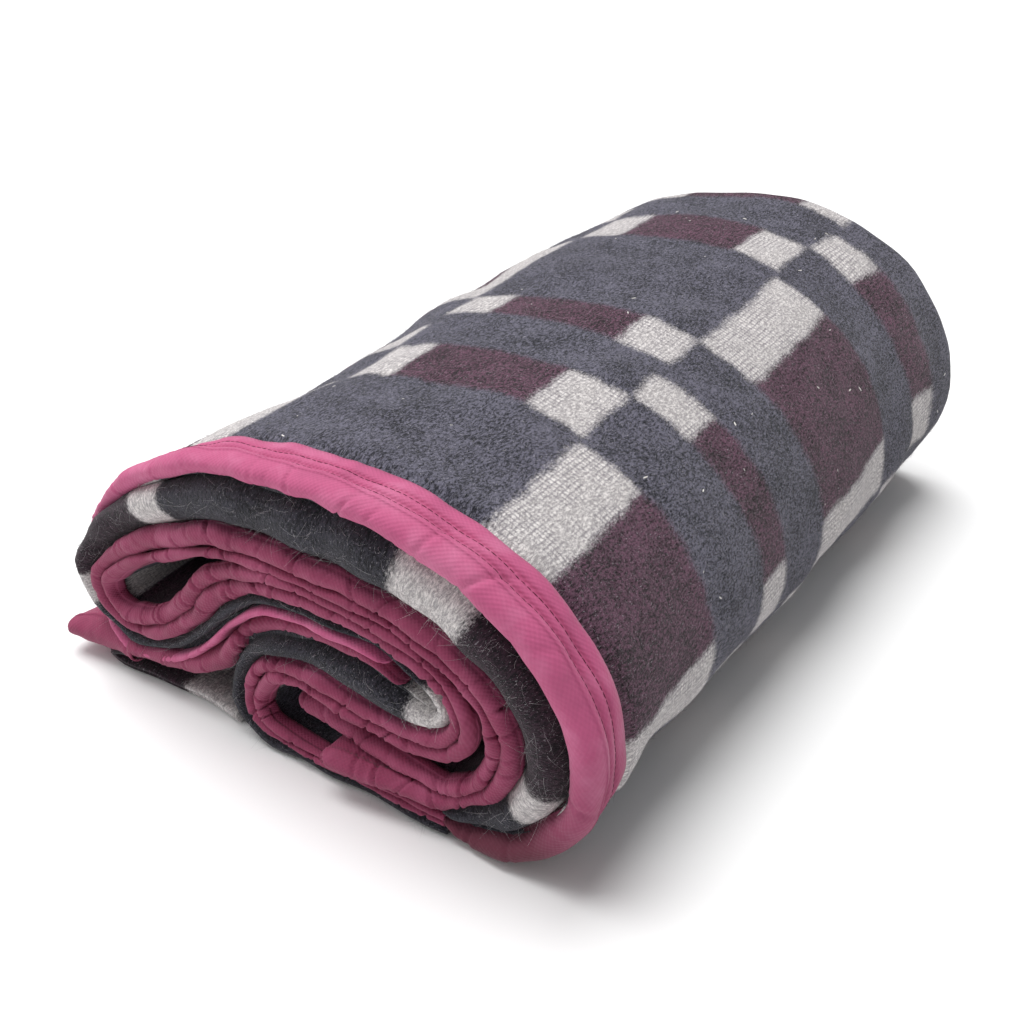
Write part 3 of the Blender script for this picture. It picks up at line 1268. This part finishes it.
@dataclass(frozen=True)
class Growth:
    """A small shape repeated over a surface or along a line, by a node tree. Sizes in mm."""

    name: str
    kind: Grown
    seed: int = 1
    density: float = 0.2  # a square mm
    length: float = 3.0
    width: float = 0.05  # half of a hair's thickness
    tilt: float = 1.45

    def grow(self, base: bpy.types.Object, material: bpy.types.Material) -> bpy.types.Object:
        """Grow the shapes on a base and make them one plain mesh.

        Args:
            base: A surface, or a line of edges for stitches.
            material: The finish.

        Returns:
            The finished object.
        """
        group = bpy.data.node_groups.new(self.name, "GeometryNodeTree")
        number = "NodeSocketFloat"
        inputs = {"Geometry": ("NodeSocketGeometry", None), "Density": (number, self.density / MM**2),
                  "Length": (number, self.length * MM), "Width": (number, self.width * MM),
                  "Tilt": (number, self.tilt), "Seed": ("NodeSocketInt", self.seed)}
        sockets = {name: group.interface.new_socket(name=name, in_out="INPUT", socket_type=kind)
                   for name, (kind, _) in inputs.items()}
        group.interface.new_socket(name="Geometry", in_out="OUTPUT", socket_type="NodeSocketGeometry")
        tree = Tree(group)
        given = tree.add("NodeGroupInput").outputs
        shapes = {Grown.SPECKS: self._speck, Grown.STITCHES: self._stitch}
        shape = shapes.get(self.kind, self._hair)(tree, given)
        spread = self._along if self.kind is Grown.STITCHES else self._over
        real = tree.add("GeometryNodeRealizeInstances", {"Geometry": spread(tree, given, shape)})
        painted = tree.add("GeometryNodeSetMaterial", {"Geometry": real, "Material": material})
        tree.add("NodeGroupOutput", {0: painted})
        modifier = base.modifiers.new(self.name, "NODES")
        modifier.node_group = group
        for name, (_, value) in inputs.items():
            if value is not None:
                modifier[sockets[name].identifier] = value
        base.update_tag()
        evaluated = base.evaluated_get(bpy.context.evaluated_depsgraph_get())
        mesh = bpy.data.meshes.new_from_object(evaluated)
        mesh.name = self.name
        base.modifiers.remove(modifier)
        # No hair reaches below the floor.
        places = np.zeros(len(mesh.vertices) * 3, np.float32)
        mesh.vertices.foreach_get("co", places)
        places[2::3] = np.maximum(places[2::3], 0.3 * self.width * MM)
        mesh.vertices.foreach_set("co", places)
        if not mesh.materials:
            mesh.materials.append(material)
        grown = bpy.data.objects.new(self.name, mesh)
        bpy.context.scene.collection.objects.link(grown)
        bpy.data.objects.remove(base)
        return grown

    def _speck(self, tree: Tree, given: bpy.types.NodeOutputs) -> bpy.types.NodeSocket:
        """A speck of fluff.

        Args:
            tree: The tree to add to.
            given: The group's inputs.

        Returns:
            The socket with the shape.
        """
        ball = tree.add("GeometryNodeMeshIcoSphere", {"Radius": given["Width"], "Subdivisions": 1})
        long = tree.add(MATH, {0: given["Length"], 1: given["Width"]}, operation="DIVIDE")
        size = tree.add("ShaderNodeCombineXYZ", {0: long, 1: 1.0, 2: 0.8})
        return tree.add("GeometryNodeTransform", {"Geometry": ball.outputs["Mesh"], "Scale": size}).outputs[0]

    def _stitch(self, tree: Tree, given: bpy.types.NodeOutputs) -> bpy.types.NodeSocket:
        """A stitch: a short tube, thinner at its ends.

        Args:
            tree: The tree to add to.
            given: The group's inputs.

        Returns:
            The socket with the shape.
        """
        tube = tree.add("GeometryNodeMeshCylinder", {"Vertices": 6, "Radius": given["Width"],
                                                     "Depth": given["Length"], "Side Segments": 2})
        place = tree.add("GeometryNodeInputPosition")
        parts = tree.add("ShaderNodeSeparateXYZ", {0: place})
        ends = tree.add(MATH, {0: parts.outputs[2], 1: given["Length"]}, operation="DIVIDE")
        ends = tree.add(MATH, {0: ends}, operation="ABSOLUTE")
        thin = tree.add(RANGE, {0: ends, 1: 0.0, 2: 0.5, 3: 1.0, 4: 0.55})
        flat = tree.add("ShaderNodeCombineXYZ", {0: thin, 1: thin, 2: 1.0})
        shaped = tree.add(VECTOR, {0: place, 1: flat}, operation="MULTIPLY")
        moved = {"Geometry": tube.outputs["Mesh"], "Position": shaped}
        return tree.add("GeometryNodeSetPosition", moved).outputs[0]

    def _hair(self, tree: Tree, given: bpy.types.NodeOutputs) -> bpy.types.NodeSocket:
        """A tapering hair, bent to one side; a tangled one is bent further.

        Args:
            tree: The tree to add to.
            given: The group's inputs.

        Returns:
            The socket with the shape.
        """
        pieces, curl = (4, 1.3) if self.kind is Grown.TANGLE else (2, 0.7)
        cone = tree.add("GeometryNodeMeshCone", {"Vertices": 3, "Side Segments": pieces,
                                                 "Radius Bottom": given["Width"], "Radius Top": 0.00001,
                                                 "Depth": given["Length"]})
        place = tree.add("GeometryNodeInputPosition")
        parts = tree.add("ShaderNodeSeparateXYZ", {0: place})
        share = tree.add(MATH, {0: parts.outputs[2], 1: given["Length"]}, operation="DIVIDE")
        bend = tree.add(MATH, {0: share, 1: 2.0}, operation="POWER")
        for factor in (given["Length"], curl):
            bend = tree.add(MATH, {0: bend, 1: factor}, operation="MULTIPLY")
        aside = tree.add("ShaderNodeCombineXYZ", {0: bend})
        moved = {"Geometry": cone.outputs["Mesh"], "Offset": aside}
        return tree.add("GeometryNodeSetPosition", moved).outputs[0]

    def _over(self, tree: Tree, given: bpy.types.NodeOutputs, shape: bpy.types.NodeSocket) -> bpy.types.Node:
        """Scatter the shape over a surface, each one turned and leaning its own way.

        Args:
            tree: The tree to add to.
            given: The group's inputs.
            shape: The shape.

        Returns:
            The node with the scattered shapes.
        """
        seed = {"Seed": given["Seed"]}
        points = tree.add("GeometryNodeDistributePointsOnFaces", {"Mesh": given["Geometry"],
                                                                  "Density": given["Density"], **seed})
        least_share = 0.6 if self.kind is Grown.NAP else -1.2
        least = tree.add(MATH, {0: given["Tilt"], 1: least_share}, operation="MULTIPLY")
        low = tree.add("ShaderNodeCombineXYZ", {0: least, 1: -0.3})
        high = tree.add("ShaderNodeCombineXYZ", {0: given["Tilt"], 1: 0.3, 2: 2 * math.pi})
        lean = tree.add("FunctionNodeRandomValue", {0: low, 1: high, **seed}, data_type="FLOAT_VECTOR")
        turn = tree.add("FunctionNodeEulerToRotation", {0: lean.outputs[0]})
        rotation = tree.add("FunctionNodeRotateRotation", {"Rotation": points.outputs["Rotation"],
                                                           "Rotate By": turn}, rotation_space="LOCAL")
        size = tree.add("FunctionNodeRandomValue", {2: 0.55, 3: 1.35, **seed}, data_type="FLOAT")
        return tree.add("GeometryNodeInstanceOnPoints", {"Points": points.outputs["Points"],
                                                         "Instance": shape, "Rotation": rotation,
                                                         "Scale": size.outputs[1]})

    def _along(self, tree: Tree, given: bpy.types.NodeOutputs, shape: bpy.types.NodeSocket) -> bpy.types.Node:
        """Set the shape end to end along a line of edges.

        Args:
            tree: The tree to add to.
            given: The group's inputs.
            shape: The shape.

        Returns:
            The node with the row of shapes.
        """
        curve = tree.add("GeometryNodeMeshToCurve", {"Mesh": given["Geometry"]})
        pitch = tree.add(MATH, {0: given["Length"], 1: 1.3}, operation="MULTIPLY")
        points = tree.add("GeometryNodeCurveToPoints", {"Curve": curve, "Length": pitch}, mode="LENGTH")
        turn = tree.add("FunctionNodeAlignRotationToVector", {"Vector": points.outputs["Tangent"]}, axis="Z")
        size = tree.add("FunctionNodeRandomValue", {2: 0.8, 3: 1.15, "Seed": given["Seed"]},
                        data_type="FLOAT")
        return tree.add("GeometryNodeInstanceOnPoints", {"Points": points.outputs["Points"],
                                                         "Instance": shape, "Rotation": turn,
                                                         "Scale": size.outputs[1]})


def polyline(name: str, paths: Sequence[np.ndarray]) -> bpy.types.Object:
    """Lines of edges through rows of points.

    Args:
        name: The object's name.
        paths: The rows of points, in metres.

    Returns:
        The object.
    """
    points, edges = [], []
    for path in paths:
        start = len(points)
        points += [tuple(p) for p in path]
        edges += [(start + i, start + i + 1) for i in range(len(path) - 1)]
    mesh = bpy.data.meshes.new(name)
    mesh.from_pydata(points, edges, [])
    obj = bpy.data.objects.new(name, mesh)
    bpy.context.scene.collection.objects.link(obj)
    return obj


@dataclass(frozen=True)
class Studio:
    """The pale floor, the soft light and the camera. Sizes in metres."""

    camera_at: tuple[float, float, float] = (0.2803, -0.4442, 0.3484)
    looks_along: tuple[float, float, float] = (-0.4777, 0.7044, -0.5250)
    lens: float = 45.7
    floor_size: float = 40.0

    def build(self) -> None:
        """Set the stage."""
        scene = bpy.context.scene
        data = bpy.data.cameras.new("camera")
        data.lens, data.sensor_width = self.lens, 36.0
        data.clip_start, data.clip_end = 0.01, 50.0
        camera = bpy.data.objects.new("camera", data)
        camera.location = self.camera_at
        camera.rotation_mode = "QUATERNION"
        camera.rotation_quaternion = Vector(self.looks_along).to_track_quat("-Z", "Y")
        scene.collection.objects.link(camera)
        scene.camera = camera
        scene.view_settings.view_transform = "Standard"

        half = self.floor_size / 2
        mesh = bpy.data.meshes.new("studio_floor")
        corners = [(-half, -half, 0), (half, -half, 0), (half, half, 0), (-half, half, 0)]
        mesh.from_pydata(corners, [], [(0, 1, 2, 3)])
        floor = bpy.data.objects.new("studio_floor", mesh)
        scene.collection.objects.link(floor)
        mesh.materials.append(MattPaper("matt white paper").material())

        world = bpy.data.worlds.new("soft studio")
        world.use_nodes = True
        sky = Tree(world.node_tree)
        light = sky.add("ShaderNodeBackground", {"Color": (1.0, 1.0, 1.0, 1.0), "Strength": 0.34})
        sky.add("ShaderNodeOutputWorld", {"Surface": light})
        scene.world = world
        for name, at, kind, size, power in (("soft_top", (-0.35, 0.12, 1.4), "SUN", 0.8, 3.3),
                                            ("soft_left", (-1.1, -0.7, 0.9), "AREA", 0.9, 5.0)):
            lamp = bpy.data.lights.new(name, kind)
            lamp.energy = power
            setattr(lamp, "angle" if kind == "SUN" else "size", size)
            obj = bpy.data.objects.new(name, lamp)
            obj.location = at
            obj.rotation_mode = "QUATERNION"
            obj.rotation_quaternion = (-Vector(at)).to_track_quat("-Z", "Y")
            scene.collection.objects.link(obj)


def report(obj: bpy.types.Object) -> None:
    """Log a piece's name and size."""
    LOG.info("%s: %d vertices, %d faces", obj.name, len(obj.data.vertices), len(obj.data.polygons))


def dress(obj: bpy.types.Object, material: bpy.types.Material) -> None:
    """Give a piece its finish and let it ride.

    Args:
        obj: The piece.
        material: Its finish.
    """
    if not obj.data.materials:
        obj.data.materials.append(material)
    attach(obj, "root")
    report(obj)


def band_sides(line: SectionLine) -> dict[str, tuple[Callable, Callable]]:
    """Low and high offset of each bound edge of the strip.

    Args:
        line: The strip's line.

    Returns:
        A pair of functions for each edge.
    """
    def col(name: str, t: np.ndarray) -> np.ndarray:
        """A column of the strip's table."""
        return line.column(name, t)

    def swell(t: np.ndarray) -> np.ndarray:
        """How far the fold at the bound end swells inwards."""
        return np.interp(t, *zip(*FOLD_SWELL))

    def within(part: float, inner: float, t: np.ndarray) -> np.ndarray:
        """An offset beyond the second edge: shares of the gap to the inner edge, and of that edge."""
        return col("second", t) + part * col("part", t) + inner * col("inner", t) + SWELL_PASSED_ON * swell(t)

    return {
        "wrap": (lambda t: -col("fold", t) - col("wrap", t), lambda t: -col("fold", t)),
        "second": (swell, lambda t: within(0.45, 0, t)),
        "inner": (lambda t: within(0.62, 0, t), lambda t: within(1, 1, t)),
    }


def thick_sides(line: SectionLine) -> tuple[Callable, Callable]:
    """Low and high offset of an edge that lies evenly on both sides of its line."""
    return lambda t: -line.column("thick", t) / 2, lambda t: line.column("thick", t) / 2


def grow_wool(cloth: WoundCloth) -> list[bpy.types.Object]:
    """Grow the nap, the tangled hairs and the specks of fluff on the cloth that shows.

    Args:
        cloth: The cloth, already built.

    Returns:
        The pieces that go with the cloth.
    """
    nap = BrushedWool("wool nap hairs", bump=0.0, lift=0.25)
    dark_nap = BrushedWool("wool nap hairs in shade", bump=0.0, lift=0.02)
    tangled = BrushedWool("tangled pale wool hairs", bump=0.0, lift=0.6)
    fluff = PlainThread("cotton fluff", "#e9e6e2", "#cfcac6")
    first, last = (int(np.searchsorted(cloth.t, row)) for row in (WRAP_BEGINS, OUTER_TURN_ENDS))
    turn, onwards = slice(first, last), slice(first, None)
    growths = (
        (Growth("wool_nap_outside", Grown.NAP, seed=3, density=0.088, length=2.4), cloth.outside, turn, nap),
        (Growth("wool_nap_fold", Grown.NAP, seed=5, density=0.14, length=2.6),
         cloth.near_fold, onwards, dark_nap),
        (Growth("wool_tangle_fold", Grown.TANGLE, seed=6, density=0.045, length=5.0, width=0.045),
         cloth.near_fold, onwards, tangled),
        (Growth("wool_specks", Grown.SPECKS, seed=8, density=0.0007, length=1.1, width=0.28, tilt=0.3),
         cloth.outside, turn, fluff),
    )
    pieces = []
    for growth, (points, check), rows, finish in growths:
        material = finish.material()
        piece = growth.grow(cloth.patch(points[rows], check[rows]), material)
        dress(piece, material)
        pieces.append(piece)
    return pieces


def bindings(line: SectionLine) -> tuple[RibbonBand, ...]:
    """The ribbons round the bound edges that show.

    Args:
        line: The strip's line.

    Returns:
        The ribbons, from the outermost inwards and then the loose ones.
    """
    sides = band_sides(line)
    loose = SectionLine(LOOSE_BINDING_ROWS, ("thick",))
    corner = SectionLine(CORNER_ROWS, ("thick",))
    return (
        RibbonBand("ribbon_outer_edge", "binding_outer_edge", line, WRAP_BEGINS - 0.8, MIDDLE_RIGHT,
                   *sides["wrap"], seed=31, wall=1.0, puff=0.6, stitched=1.5, proud=0.35, crease_gap=9,
                   crease_depth=1.3, rounded=(6, 6), faded=True, set_back=OUTER_SET_BACK),
        RibbonBand("ribbon_second_edge", "binding_second_edge", line, SECOND_END, FLOOR_END, *sides["second"],
                   seed=32, set_back=SECOND_SET_BACK, rounded=(9, 0)),
        RibbonBand("ribbon_inner_edge", "binding_inner_edge", line, OPEN_END, FLOOR_END, *sides["inner"],
                   seed=33, set_back=INNER_SET_BACK, rounded=(9, 0), depth_inside=8.0, flat_width=36.0),
        RibbonBand("ribbon_outer_return", "binding_outer_return", line, RETURN_RIGHT, LOOP_SHOULDER,
                   *sides["wrap"], seed=34, set_back=RETURN_SET_BACK, rounded=(6, 6)),
        RibbonBand("ribbon_loose_end", "binding_loose_end", loose, 0, 5, *thick_sides(loose), seed=35,
                   rounded=(6, 0)),
        RibbonBand("ribbon_corner", "bound_corner", corner, 0, 4, *thick_sides(corner), seed=36, depth=20.0,
                   rounded=(0, 3), crease_gap=14, crease_depth=1.0),
    )


def main() -> None:
    """Build the blanket piece by piece."""
    logging.basicConfig(level=logging.INFO, format="%(name)s: %(message)s")
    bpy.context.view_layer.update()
    Studio().build()

    cloth = WoundCloth()
    body = cloth.build()
    dress(body, BrushedWool("brushed wool").material())
    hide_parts("blanket_cloth")
    with_cloth = grow_wool(cloth)

    ribbon = WovenRibbon().material()
    faded = WovenRibbon("woven polyester ribbon faded by light", "#ba567f", "#8a3e60", "#d180a2",
                        fading=(100.0, 144.0)).material()
    thread = PlainThread("polyester sewing thread", "#431226", "#6b2843").material()
    for band in bindings(cloth.line):
        piece = band.build()
        dress(piece, faded if band.faded else ribbon)
        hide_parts(band.node)
        if band.stitched:
            growth = Growth("stitches_" + band.name.removeprefix("ribbon_"), Grown.STITCHES, seed=7,
                            length=2.0, width=0.22)
            stitches = growth.grow(polyline("stitch_lines", band.stitch_paths()), thread)
            dress(stitches, thread)

    bpy.context.view_layer.update()


if __name__ == "__main__":
    main()
